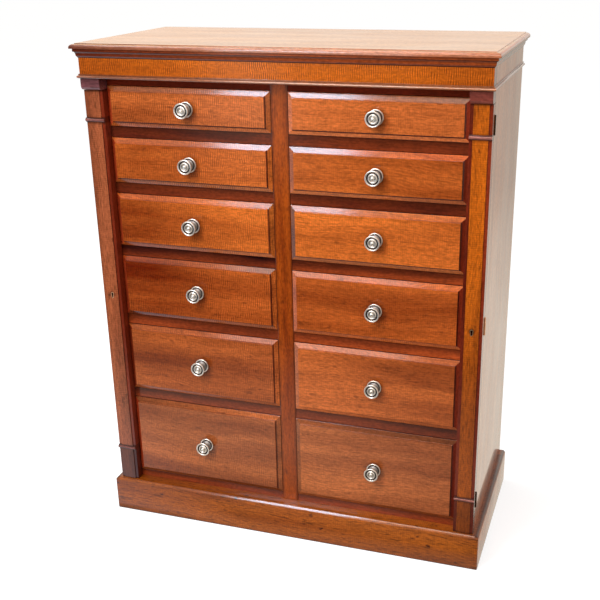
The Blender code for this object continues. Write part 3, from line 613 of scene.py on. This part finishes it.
def keyhole_blank(name, x, y_front, y_far, grow=0.0):
    """The outline of a keyhole lining, a round eye over a tapering slot, as a solid between two depths."""
    bpy.ops.object.select_all(action="DESELECT")
    bpy.ops.mesh.primitive_circle_add(vertices=32, radius=0.0043 + grow, fill_type="NGON",
                                      location=(x, y_far, key_z), rotation=(math.pi / 2, 0, 0))
    piece = named(name)
    choose(piece, "VERT", lambda corner: corner.co.z < key_z - 0.0016)
    bpy.ops.transform.translate(value=(0, 0, -0.0086))
    bpy.ops.transform.resize(value=(0.74, 1, 1), center_override=(x, 0, 0))
    bpy.ops.mesh.select_all(action="SELECT")
    draw_out(0, y_front - y_far, 0)
    seal(piece)
    return piece


for hand, side in hands.items():
    body = "locking_stile_" + hand
    light, dark, place, tone_low, tone_high = stile_finishes[hand]
    stile_mahogany = mahogany(f"french_polished_mahogany_stile_{hand}", light, dark, "z", ripple=0.30, figure=0.6,
                              flecks=0.6, place=place, tone=("Z", 0.3, 1.0, tone_low, tone_high))
    darken_round(stile_mahogany, side * key_x, key_z - 0.0010, 0.0055, 0.0105, 0.35)
    inner, outer = sorted((side * opening_half, side * carcase_half))
    stile = blank(f"hinged_stile_{hand}", (inner, stile_face + margin_depth, stile_foot),
                  (outer, stile_back, stile_head))
    score(stile, (0, inner + margin), (0, outer - margin))
    choose(stile, "FACE", lambda face: face.normal.y < -0.9 and inner + margin < middle(face).x < outer - margin)
    draw_out(0, -margin_depth, 0)
    take_up(stile)
    cut_hinge_beds(stile, side, stile_back - 0.0012, stile_back + 0.01)
    combine(stile, keyhole_blank("keyhole", side * key_x, stile_face - 0.01, stile_face + 0.009, 0.0001))
    low_x, high_x = sorted(side * x for x in bolt_hole_x)
    combine(stile, blank("bolt_way", (low_x, -0.2120, bolt_hole_z[0]), (high_x, stile_back + 0.01, bolt_hole_z[1])))
    combine(stile, blank("plate_bed", (low_x - 0.0040, stile_back - 0.0011, bolt_hole_z[0] - 0.0200),
                         (high_x + 0.0040, stile_back + 0.01, bolt_hole_z[1] + 0.0200)))
    score(stile, *[(2, z + step) for z in collar_heights.values() for step in (-0.0125, -0.0055, 0.0055, 0.0090)],
          (2, 1.1810), (2, 0.1050))
    ease(stile, 0.0006)
    # Painted shade under the capital, on the foot at the plinth and beside the collars; the block below the lower
    # collar, and the right one's block above the upper collar, are darker
    mark(stile, "grime", lambda face, spot: 0.8 if spot.z > 1.186 or spot.z < 0.101 else 0.5 if spot.z > 1.183
                 else 0.75 if min(abs(spot.z - z) for z in collar_heights.values()) < 0.0058
                 else 0.58 - 0.14 * side if spot.z < 0.1856 else 0.07 + 0.07 * side if spot.z > 1.1239 else 0.0)
    give(stile, stile_mahogany, body)
    # The sunk margins are painted darker, as shade
    mark(stile, "rubbed", lambda face, spot: -0.15 if spot.y > stile_face + 0.002 else 0.0)

    def on_margin(face):
        """Whether a face is on one of the two sunk margins."""
        return face.normal.y < -0.9 and middle(face).y > stile_face + 0.002

    # Painted shade in the sunk margins, and on the side facing the drawers
    stain(stile, shaded_margin_mahogany, lambda face: on_margin(face) and abs(middle(face).x) < key_x)
    stain(stile, half_shaded_mahogany, lambda face: on_margin(face) and middle(face).x > key_x
          or side * face.normal.x < -0.9 and abs(middle(face).x) < opening_half + 0.001)
    # The sides of the raised face are painted dark, as the shade at its step
    stain(stile, shade_and_dark_polish, lambda face: abs(face.normal.x) > 0.8
          and abs(abs(middle(face).x) - (opening_half + carcase_half) / 2) < 0.020
          and middle(face).y < stile_face + 0.0024 and face.calc_area() > 0.0005)
    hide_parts("stile_" + hand)

    for place_name, z in collar_heights.items():
        bead = [(0.0010 + 0.0032 * math.sin(turn), z - 0.0034 * math.cos(turn)) for turn in arc(0, 180, 14)]
        collar = worked(f"collar_{place_name}_{hand}", side * opening_half, side * (carcase_half + 0.0009),
                        stile_face, stile_face + 0.0030, [(0.0010, z - 0.0052)] + bead + [(0.0010, z + 0.0052)],
                        mitred=False)
        ease(collar, 0.0003)
        # Above and below its round the collar is darker: dirt along its upper edge, and painted shade under it
        mark(collar, "grime", lambda face, spot: 0.85 if abs(spot.z - z) > 0.0030 else 0.0)
        give(collar, collar_mahogany, body)

    lining = keyhole_blank(f"keyhole_lining_{hand}", side * key_x, stile_face - 0.0002, stile_face + 0.0085)
    choose(lining, "FACE", lambda face: face.normal.y < -0.9)
    bpy.ops.mesh.inset(thickness=0.0015, depth=0.0)
    draw_out(0, 0.0080, 0)
    take_up(lining)
    ease(lining, 0.0002, 2)
    give(lining, rubbed_brass if hand == "left" else aged_brass, body)
    # The inside of the keyhole is painted dark, as shade
    stain(lining, shade_and_dark_polish, lambda face: middle(face).y > stile_face + 0.0006
          and (middle(face) - Vector((side * key_x, middle(face).y, middle(face).z))).length < 0.0036
          and face.normal.y < 0.5)


# Hinges
# Three brass butt hinges on each stile, let into the stile's back and the carcase's front. Each leaf has its
# own knuckles, which stand just proud of the side. Their screws are left out.

leaf_inset, leaf_reach, knuckle_pitch, knuckle_length, knuckle_radius = 0.0034, 0.0134, 0.015, 0.0146, 0.0024
for hand, side in hands.items():
    for half, body, towards, knuckles in (("fixed", "carcase", 1, (0, 2)),
                                          ("moving", "locking_stile_" + hand, -1, (1,))):
        y_near, y_far = hinge_y + towards * 0.0002, hinge_y + towards * 0.0014
        for number, foot in enumerate(hinge_feet, start=1):
            leaf = blank(f"hinge_{half}_leaf_{hand}_{number}", (side * (hinge_x - leaf_inset), y_near, foot),
                         (side * (hinge_x - leaf_reach), y_far, foot + hinge_height))
            for knuckle in knuckles:
                z_low = foot + knuckle_pitch * knuckle + 0.0002
                combine(leaf, blank("tab", (side * hinge_x, y_near, z_low),
                                    (side * (hinge_x - 0.0060), y_far, z_low + knuckle_length)), "UNION")
                combine(leaf, barrel(side, z_low + knuckle_length / 2, knuckle_length, knuckle_radius, 28), "UNION")
            ease(leaf, 0.0003)
            give(leaf, rubbed_brass if number == 2 else blackened_brass, body)
            if number == 1:
                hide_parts(f"hinge_{half}_{hand}")


# Locks
# A steel bolt that the key throws out of each stile into the post, and round it a brass plate let in flush
# with the stile's back. The lock behind the plate is left out.

bright_steel = metal("worn_steel", "#A7A39B", "#5E564C", 0.32)
plate_margin, plate_rise = 0.0040, 0.0198
for hand in hands:
    bolt_low, bolt_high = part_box("lock_bolt_" + hand)
    bolt = blank(f"bolt_{hand}", bolt_low, bolt_high)
    ease(bolt, 0.0006)
    give(bolt, bright_steel, "bolt_" + hand)
    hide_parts("lock_bolt_" + hand)
    plate = blank(f"lock_plate_{hand}", (bolt_low.x - plate_margin, stile_back - 0.0010,
                                          bolt_hole_z[0] - plate_rise),
                  (bolt_high.x + plate_margin, stile_back, bolt_hole_z[1] + plate_rise))
    combine(plate, blank("bolt_way", (bolt_low.x - 0.0003, stile_back - 0.01, bolt_low.z - 0.0003),
                         (bolt_high.x + 0.0003, stile_back + 0.01, bolt_high.z + 0.0003)))
    ease(plate, 0.0002)
    give(plate, aged_brass, "locking_stile_" + hand)


# Drawers
# Each front is a mahogany board with a wide bevel all round, a small step, and a raised field with softened
# arrises. The left stack shows strong fiddleback, the right one plainer grain that runs across.

# For the front of each row: how much paler its bevels are painted than its field, as painted highlight and
# shade (the upper one at its left end and its right end, the lower one, the one beside the centre stile and the
# one beside the hinged stile), then how far its colour goes from dark to light a quarter and three quarters of
# the way along, mostly paler towards the middle of the chest, partly as painted sheen and partly its own tone,
# and its fiddleback
front_looks = {
    "left": (((-0.12, 0.0, 0.18, -0.25, 0.50), (0.39, 0.62, 0.75)),
             ((0.15, -0.20, -0.35, -0.20, 0.12), (0.32, 0.67, 0.70)),
             ((0.56, -0.35, -0.05, -0.38, 0.0), (0.22, 0.70, 0.70)),
             ((0.42, -0.55, -0.32, -0.15, -0.10), (0.12, 0.54, 0.80)),
             ((-0.08, 0.60, 0.02, 0.18, -0.40), (0.24, 0.36, 0.55)),
             ((-0.38, 0.42, -0.24, -0.15, 0.20), (0.30, 0.24, 0.45))),
    "right": (((0.0, -0.35, 0.32, 0.05, 0.30), (0.73, 0.61, 0.16)),
              ((-0.40, 1.15, -0.08, -0.34, -0.18), (0.56, 0.41, 0.16)),
              ((-0.38, 0.15, -0.30, -0.75, -0.15), (0.82, 0.78, 0.20)),
              ((0.15, 0.28, 0.14, 0.05, 0.10), (0.48, 0.46, 0.25)),
              ((0.22, 0.35, 0.24, -0.18, 0.0), (0.66, 0.34, 0.20)),
              ((-0.20, -0.55, -0.14, -0.38, 0.15), (0.44, 0.25, 0.15)))}
# The middle fronts are the reddest, and the lowest are painted a little paler and greyer, as the floor's
# reflection in them
front_stains = (("#E47736", "#7C320E"), ("#E4752E", "#7A2A06"), ("#E4752C", "#7A2A06"), ("#E4722C", "#7A2A06"),
                ("#E47736", "#7C320E"), ("#E27F44", "#803A18"))
oak_along = raw_timber("raw_oak_drawer_sides", "#C49B66", "#A57845", "y", (0.1, 0.5, 0.3))
oak_across = raw_timber("raw_oak_drawer_bottoms", "#C9A26E", "#AC804C", "x", (0.6, 0.1, 0.8))


def dovetailed_side(name, low, high, tails, reach):
    """A drawer side whose front end has this many tails, each spreading towards its end."""
    piece = blank(name, low, high)
    pitch = (high[2] - low[2]) / tails
    cuts = [low[2] + pitch * (number + share) for number in range(tails) for share in (0.18, 0.82)]
    score(piece, *[(2, z) for z in cuts])
    for number in range(tails):
        z_low, z_high = cuts[2 * number], cuts[2 * number + 1]
        choose(piece, "FACE", lambda face: face.normal.y < -0.9 and z_low < middle(face).z < z_high
               and middle(face).y < low[1] + 0.0001)
        draw_out(0, -reach, 0)
        bpy.ops.transform.resize(value=(1, 1, 1.28), center_override=(0, 0, (z_low + z_high) / 2))
    take_up(piece)
    return piece


def twin(piece, name, shift):
    """A copy of a piece with its own mesh, moved along and set down there."""
    take_up(piece)
    bpy.ops.object.duplicate()
    bpy.context.object.parent = None
    bpy.ops.transform.translate(value=shift)
    return named(name)


bevel_width, bevel_rise, step_width, step_rise, field_rise, side_board = 0.0107, 0.0038, 0.0019, 0.0007, 0.0055, 0.0100
shift_right = (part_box("drawer_front_right_1")[0].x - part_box("drawer_front_left_1")[0].x, 0, 0)
for row in range(1, 7):
    front_low, front_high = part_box(f"drawer_front_left_{row}")
    box_low, box_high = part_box(f"drawer_box_left_{row}")
    edge_plane = front_low.y + bevel_rise + step_rise + field_rise
    front = blank(f"front_left_{row}", (front_low.x, edge_plane, front_low.z), front_high)
    choose(front, "FACE", lambda face: face.normal.y < -0.9)
    bpy.ops.mesh.inset(thickness=bevel_width, depth=bevel_rise)
    bpy.ops.mesh.inset(thickness=step_width, depth=step_rise)
    draw_out(0, -field_rise, 0)
    score(front, (2, front_low.z + 0.0088))
    tails = max(2, round((box_high.z - box_low.z) / 0.045))
    sides = []
    for side, x in ((-1, front_low.x), (1, front_high.x)):
        sides.append(dovetailed_side("drawer_side", (x, box_low.y, box_low.z),
                                     (x - side * side_board, box_high.y, box_high.z), tails, 0.0085))
        combine(front, twin(sides[-1], "socket", (side * 0.0003, 0, 0)))
    take_up(sides[0])
    sides[1].select_set(True)
    bpy.ops.object.join()
    flanks = bpy.context.object
    flanks.name = flanks.data.name = f"drawer_sides_left_{row}"
    ease(flanks, 0.0004)
    ease(front, 0.0004, 2)
    x_low, x_high = front_low.x + side_board + 0.0001, front_high.x - side_board - 0.0001
    back = blank(f"drawer_back_left_{row}", (x_low, box_high.y - 0.0100, box_low.z + 0.0080),
                 (x_high, box_high.y - 0.0001, box_high.z - 0.0100))
    ease(back, 0.0006)
    bottom = blank(f"drawer_bottom_left_{row}", (x_low, box_low.y, box_low.z + 0.0020),
                   (x_high, box_high.y - 0.0010, box_low.z + 0.0079))
    choose(bottom, "FACE", lambda face: face.normal.z < -0.9)
    bpy.ops.mesh.inset(thickness=0.0200, depth=0.0015)
    ease(bottom, 0.0003)
    for hand, outward in hands.items():
        (upper_left, upper_right, lower, inner, outer), (at_left, at_right, ripple) = front_looks[hand][row - 1]
        shift = shift_right if hand == "right" else (0, 0, 0)
        centre = (front_low.x + front_high.x) / 2 + shift[0]
        body = f"drawer_{hand}_{row}"
        pieces = [front, flanks, back, bottom]
        if hand == "right":
            pieces = [twin(piece, piece.name.replace("left", hand), shift) for piece in pieces]
        fiddleback = mahogany(f"fiddleback_mahogany_{hand}_{row}", *front_stains[row - 1], "x", ripple=ripple,
                              figure=0.45, flecks=0.42, place=(0.37 * row, 0.21 * row, 0.53 * row),
                              tone=("X", centre - 0.12, centre + 0.12, at_left, at_right),
                              streaks=0.6 if hand == "left" else 0.8)
        knob_low, knob_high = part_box(f"knob_{hand}_{row}")
        # Painted shadow of the knob: a soft dark ring round it, set a little down and to the right
        darken_round(fiddleback, (knob_low.x + knob_high.x) / 2 + 0.002, (knob_low.z + knob_high.z) / 2 - 0.003,
                     0.018, 0.031, 0.52)

        def bevel_shade(face, spot):
            """The painted highlight and shade of a bevel at one corner of one of its faces."""
            if -0.98 < face.normal.y < -0.8 and spot.y < edge_plane + 0.001:
                if face.normal.z > 0.2:
                    return upper_left + (upper_right - upper_left) * ((spot.x - centre) / 0.40 + 0.5)
                if face.normal.z < -0.2:
                    return lower
                if abs(face.normal.x) > 0.2:
                    return outer if outward * face.normal.x > 0 else inner
            return 0.0

        mark(pieces[0], "rubbed", bevel_shade)
        give(pieces[0], fiddleback, body)
        # Painted shade: the step round the field but for its top, the upper part of the lower bevel under the field,
        # and the front's own edges in the gap round it
        stain(pieces[0], shade_and_dark_polish, lambda face: face.normal.z < 0.25 and face.normal.x < 0.5
              and edge_plane - 0.0085 < middle(face).y < edge_plane - 0.0037
              or -0.6 < face.normal.z < -0.2 and middle(face).z > front_low.z + 0.0089
              or abs(face.normal.y) < 0.5 and middle(face).y > edge_plane + 0.001)
        # The bevel beside the hinged stile is painted darker, as the stile's shade on it
        stain(pieces[0], half_shaded_mahogany if hand == "left" else shaded_margin_mahogany,
              lambda face: -0.98 < face.normal.y < -0.8 and outward * face.normal.x > 0.2
              and middle(face).y > edge_plane - 0.0037)
        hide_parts(f"drawer_front_{hand}_{row}")
        give(pieces[1], oak_along, body)
        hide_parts(f"drawer_box_{hand}_{row}")
        give(pieces[2], oak_across, body)
        give(pieces[3], oak_across, body)


# Knobs
# Turned and plated knobs, one to a drawer: a rose against the wood, a narrow neck, and a dished face with a
# bright rim, an inner ring and a boss. Polish has gone brown in the hollows that a cloth doesn't reach.

# Radius and distance out from the drawer, in millimetres
knob_outline = (
    (0, 0), (18.5, 0), (18.8, 0.8), (18.4, 1.9), (17.4, 2.5), (16.2, 2.4), (15.3, 1.8), (14.6, 1.5), (13.8, 1.9),
    (12.0, 2.9), (9.7, 4.8), (7.7, 7.4), (6.6, 10.2), (6.3, 13.2), (6.6, 16.2), (7.7, 19.2), (9.6, 21.3),
    (12.5, 22.6), (15.5, 23.5), (17.7, 24.6), (18.7, 25.8), (19.0, 26.9), (18.7, 27.9), (17.9, 28.6), (16.9, 28.8),
    (15.9, 28.5), (15.3, 27.8), (14.9, 26.9), (14.2, 26.3), (12.9, 26.1), (11.9, 26.5), (11.1, 27.5), (10.4, 28.3),
    (9.5, 28.7), (8.7, 28.3), (8.1, 27.4), (7.3, 26.5), (6.1, 26.1), (5.2, 26.6), (4.6, 27.9), (3.9, 29.0),
    (2.7, 29.7), (1.4, 30.0), (0, 30.0))

bpy.ops.object.select_all(action="DESELECT")
bpy.ops.mesh.primitive_plane_add(size=0.001, location=(0, 0, 0))
knob = named("knob_pattern")
bpy.ops.object.mode_set(mode="EDIT")
bpy.ops.mesh.select_mode(type="VERT")
bpy.ops.mesh.select_all(action="SELECT")
bpy.ops.mesh.merge(type="CENTER")
for (radius, out), (next_radius, next_out) in zip(knob_outline, knob_outline[1:]):
    bpy.ops.mesh.extrude_vertices_move(TRANSFORM_OT_translate={
        "value": ((next_radius - radius) / 1000, -(next_out - out) / 1000, 0)})
bpy.ops.mesh.select_all(action="SELECT")
bpy.ops.mesh.spin(steps=40, angle=math.tau, center=(0, 0, 0), axis=(0, 1, 0))
bpy.ops.mesh.select_all(action="SELECT")
bpy.ops.mesh.remove_doubles(threshold=0.00001)
seal(knob)
bpy.ops.object.shade_smooth()


def tarnish(face, spot):
    """Brown in the hollows of the knob's face and on its rose."""
    across, out = 1000 * math.hypot(spot.x, spot.z), -1000 * spot.y
    if out > 20:
        return 0.0 if out > 27.6 else 1.0 if 11.4 < across < 15.2 else 0.55 if 5.0 < across < 8.2 else 0.0
    return 1.0 if 12.5 < across < 15.6 else 0.75 if across < 12.5 else 0.0


mark(knob, "tarnish", tarnish)
aged_nickel = metal("aged_nickel_plate", "#FFF5EA", "#463A3A", 0.33, 140.0, 0.12)
for hand in hands:
    for row in range(1, 7):
        knob_low, knob_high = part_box(f"knob_{hand}_{row}")
        seat = ((knob_low.x + knob_high.x) / 2, knob_high.y, (knob_low.z + knob_high.z) / 2)
        copy = twin(knob, f"turned_knob_{hand}_{row}", seat)
        give(copy, aged_nickel, f"drawer_{hand}_{row}")
        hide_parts(f"knob_{hand}_{row}")
bpy.data.objects.remove(knob, do_unlink=True)


# Studio
# A pale floor that keeps a soft shadow and glows with painted light in reflections, a white surround for the
# camera, and four soft lamps. The window is high on the left, and its reflection whitens the upper bevels near
# the middle of the chest.

bpy.ops.object.select_all(action="DESELECT")
bpy.ops.mesh.primitive_plane_add(size=60, location=(0, 8, -0.0005))
floor = bpy.context.object
floor.name = "studio_floor"
paper = bpy.data.materials.new("matt_white_paper")
paper.use_nodes = True
paper.node_tree.nodes.remove(paper.node_tree.nodes["Principled BSDF"])
spot = add_node(paper, "SeparateXYZ", {0: add_node(paper, "TexCoord")["Object"]})
# Seen only in reflections, the floor glows with painted light: a warm sheen, dimmed just in front of the chest
# as a painted shadow, a streak of window light that runs out from the chest to the left, and well to the left a
# blue glow of sky light
across_streak = add_node(paper, "Math", (spot["Y"], -0.43, spot["X"]), operation="MULTIPLY_ADD")[0]
across_streak = add_node(paper, "Math", (across_streak, -3.53), operation="ADD")[0]
across_streak = add_node(paper, "Math", {0: across_streak}, operation="ABSOLUTE")[0]
leftward = add_node(paper, "Math", (spot["Y"], 1.2, 9.84), operation="MULTIPLY_ADD")[0]
leftward = add_node(paper, "Math", (leftward, spot["X"]), operation="SUBTRACT")[0]
zones = {"before": add_node(paper, "Math", (spot["Y"], -8.25), operation="LESS_THAN")[0]}
for zone, measure, low, high, at_low, at_high in (
        ("sheen", spot["Y"], -9.5, -8.7, 0.05, 1.0), ("close", spot["Y"], -8.6, -8.25, 1.0, 0.2),
        ("aside", spot["X"], -0.3, 0.6, 1.0, 0.35), ("far", spot["Y"], -16.0, -12.5, 0.08, 0.05),
        ("beside", spot["X"], 1.6, 2.8, 0.05, 0.85), ("behind", spot["Y"], -8.35, -8.22, 0.0, 0.95),
        ("beyond", spot["Y"], -6.5, -4.0, 1.0, 0.66), ("streak", across_streak, 0.25, 0.80, 1.0, 0.0),
        ("reach", spot["Y"], -14.6, -11.2, 1.0, 0.0), ("skylit", leftward, 0.05, 0.45, 0.0, 1.0)):
    zones[zone] = add_node(paper, "MapRange", (measure, low, high, at_low, at_high))[0]
for zone, how, other in (("sheen", "MULTIPLY", "close"), ("sheen", "MULTIPLY", "aside"),
                         ("streak", "MULTIPLY", "reach"), ("sheen", "MAXIMUM", "far"),
                         ("sheen", "MAXIMUM", "streak"), ("sheen", "MAXIMUM", "beside"),
                         ("sheen", "MAXIMUM", "behind"), ("sheen", "MULTIPLY", "beyond"),
                         ("skylit", "MULTIPLY", "before")):
    zones[zone] = add_node(paper, "Math", (zones[zone], zones[other]), operation=how)[0]
seen = add_node(paper, "LightPath")
through = add_node(paper, "Math", (seen["Is Camera Ray"], seen["Is Transmission Ray"]), operation="MAXIMUM")
warm = add_node(paper, "Emission", {"Color": (1.0, 0.93, 0.80, 1), "Strength": zones["sheen"]})[0]
blue = add_node(paper, "Emission", {"Color": (0.70, 0.84, 1.0, 1), "Strength": 1.5})[0]
plain = add_node(paper, "BsdfDiffuse", {"Color": (0.48, 0.46, 0.43, 1)})[0]
matt = add_node(paper, "BsdfDiffuse", {"Color": (0.45, 0.45, 0.45, 1)})[0]
lit = add_node(paper, "Emission", {"Color": (1, 1, 1, 1), "Strength": 0.80})[0]
shown = add_node(paper, "AddShader", (matt, lit))[0]
look = add_node(paper, "MixShader", (zones["skylit"], warm, blue))[0]
look = add_node(paper, "MixShader", (seen["Is Glossy Ray"], plain, look))[0]
look = add_node(paper, "MixShader", (through[0], look, shown))[0]
connect(paper, paper.node_tree.nodes["Material Output"], {"Surface": look})
floor.data.materials.append(paper)

surround = bpy.data.worlds.new("studio_surround")
surround.use_nodes = True
bpy.context.scene.world = surround
soft = surround.node_tree.nodes["Background"]
connect(surround, soft, {"Color": (1.0, 0.98, 0.95, 1), "Strength": 0.45})
white = add_node(surround, "Background", {"Color": (1, 1, 1, 1), "Strength": 1.0})[0]
seen = add_node(surround, "LightPath")
# In front of the chest the room is dark below the window, which leaves the lowest bevels their own colour
towards = add_node(surround, "SeparateXYZ", {0: add_node(surround, "TexCoord")["Generated"]})
high = add_node(surround, "MapRange", (towards["Z"], 0.20, 0.28, 0.25, 1.0))[0]
behind = add_node(surround, "MapRange", (towards["Y"], -0.3, 0.0))[0]
bright = add_node(surround, "Math", (high, behind), operation="MAXIMUM")[0]
mirrored = add_node(surround, "Background", {"Color": (1.0, 0.94, 0.86, 1), "Strength": bright})[0]
look = add_node(surround, "MixShader", (seen["Is Glossy Ray"], soft.outputs[0], mirrored))[0]
through = add_node(surround, "Math", (seen["Is Camera Ray"], seen["Is Transmission Ray"]),
                   operation="MAXIMUM")[0]
look = add_node(surround, "MixShader", (through, look, white))[0]
connect(surround, surround.node_tree.nodes["World Output"], {"Surface": look})


# Each lamp's azimuth, where 0 is straight in front, elevation, distance, size, power, aim and colour
for name, azimuth, elevation, distance, size, power, aim, colour in (
        ("window_left", -22, 26.2, 3.24, (0.74, 0.96), 15.84, (0, -0.2, 1.19), (0.54, 0.78, 1.0)),
        ("window_sill_glow", -16.5, 6.5, 2.83, (1.05, 0.9), 3.591, (0, -0.2, 1.19), (1, 1, 1)),
        ("room_fill", -13, 46, 4.0, (1.9, 1.6), 20.286, (0, 0, 0.75), (1.0, 0.81, 0.68)),
        ("skylight_strip", 0, 90, 3.0, (3.2, 1.0), 25.6, (-1.35, 0.36, 1.3), (1, 1, 1))):
    turn, rise = math.radians(azimuth), math.radians(elevation)
    away = Vector((math.sin(turn) * math.cos(rise), -math.cos(turn) * math.cos(rise), math.sin(rise)))
    lamp = bpy.data.lights.new(name, "AREA")
    lamp.shape, lamp.size, lamp.size_y = "RECTANGLE", *size
    lamp.energy, lamp.color = power * math.pi, colour
    stand = bpy.data.objects.new(name, lamp)
    bpy.context.scene.collection.objects.link(stand)
    stand.location = Vector(aim) + distance * away
    stand.rotation_euler = (-away).to_track_quat("-Z", "Y").to_euler()

# The camera that was solved from the chest's own straight edges, its lens in pixels of a square view
focal_length, lens_x, lens_y, view_width = 967.51, 324.145, 317.631, 600
camera_data = bpy.data.cameras.new("camera")
camera_data.sensor_width = 36
camera_data.lens = focal_length / view_width * camera_data.sensor_width
camera_data.shift_x = -(lens_x - view_width / 2) / view_width
camera_data.shift_y = (lens_y - view_width / 2) / view_width
camera = bpy.data.objects.new("camera", camera_data)
across = Vector((0.9506, 0.3100, -0.0128)).normalized()
backward = Vector((0.2935, -0.8849, 0.3618)).normalized()
camera.matrix_world = Matrix((across, backward.cross(across), backward)).transposed().to_4x4()
camera.location = (0.8142, -2.3400, 1.5187)
bpy.context.scene.collection.objects.link(camera)
bpy.context.scene.camera = camera
bpy.context.scene.view_settings.view_transform = "Standard"

bpy.context.view_layer.update()
